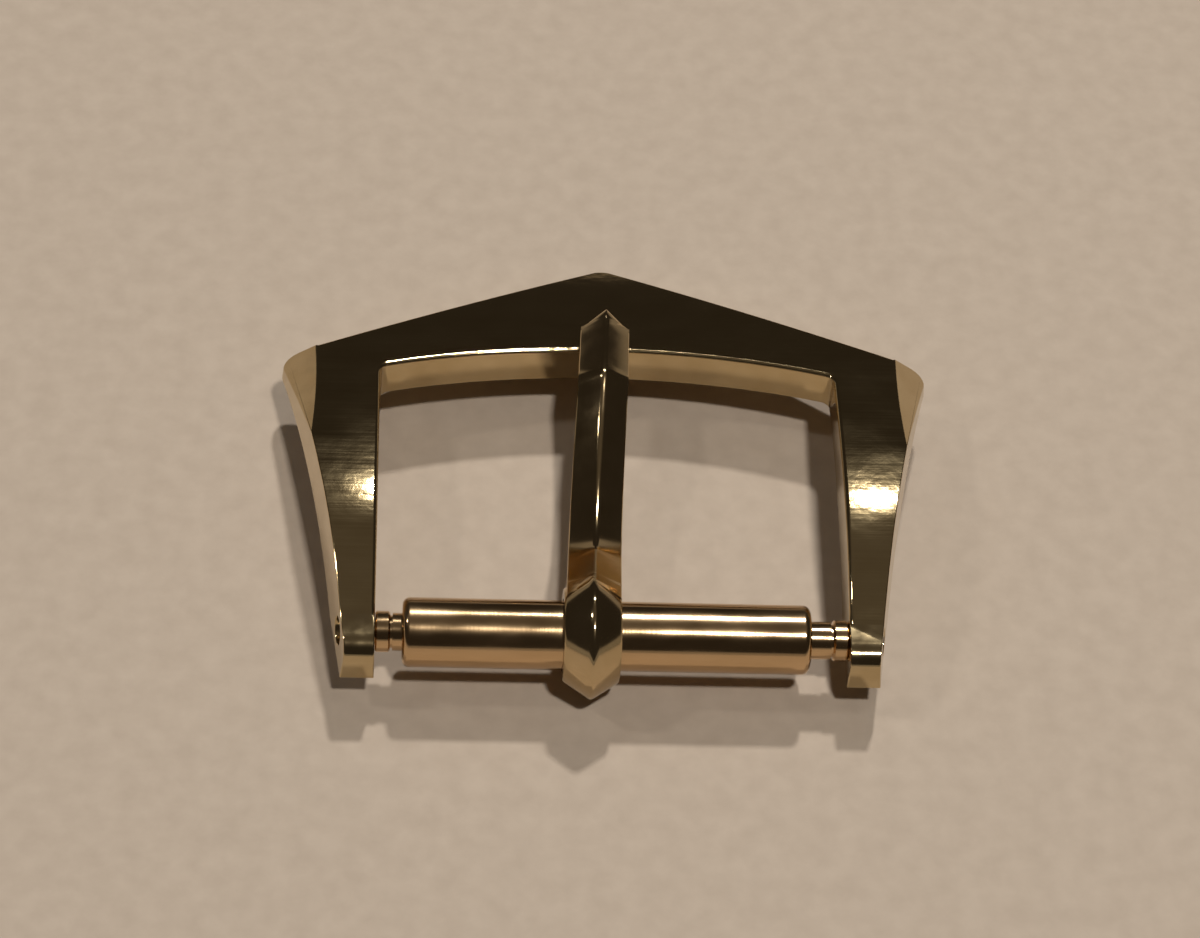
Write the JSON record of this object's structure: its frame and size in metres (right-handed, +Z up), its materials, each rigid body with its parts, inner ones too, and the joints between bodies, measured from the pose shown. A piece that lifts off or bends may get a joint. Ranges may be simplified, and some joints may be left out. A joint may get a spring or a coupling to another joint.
{
  "type": "watch tang buckle",
  "caption": "Gold-toned tang buckle for a narrow watch strap: arched pointed frame, bevelled corners, roofed tang and spring bar.",
  "frame": {"origin": "middle of the footprint, on the surface that the buckle lies on", "axes": "+X across the strap, +Y from the spring bar to the pointed front, +Z up to the side that is seen on the wrist"},
  "size_m": [0.02, 0.0166, 0.0039],
  "materials": {
    "frame_gold": "gold plate, brushed on top and polished on the bevels",
    "tang_gold": "polished gold plate",
    "bar_gold": "turned and polished rose-toned gold plate",
    "spring_steel": "drawn spring wire"
  },
  "bodies": {
    "frame": {"frame": "frame_gold"},
    "barrel": {"bar_barrel": "bar_gold", "bar_spring": "spring_steel"},
    "tang": {"tang": "tang_gold"},
    "pin_left": {"bar_pin_left": "bar_gold"},
    "pin_right": {"bar_pin_right": "bar_gold"}
  },
  "joints": [
    {"name": "tang_swing", "type": "hinge", "parent": "frame", "child": "barrel", "pos_m": [0, -0.00643, 0.0019], "axis": [1, 0, 0], "range_deg": [0, 340]},
    {"name": "tang_slide", "type": "slide", "parent": "barrel", "child": "tang", "axis": [1, 0, 0], "range_m": [-0.0047, 0.0056]},
    {"name": "pin_left_press", "type": "slide", "parent": "frame", "child": "pin_left", "axis": [1, 0, 0], "range_m": [0, 0.00033], "stiffness_N_per_m": 1000, "springref_m": -0.002, "deforming": ["bar_spring"]},
    {"name": "pin_right_press", "type": "slide", "parent": "frame", "child": "pin_right", "axis": [-1, 0, 0], "range_m": [0, 0.00067], "stiffness_N_per_m": 1000, "springref_m": -0.002, "deforming": ["bar_spring"]}
  ]
}
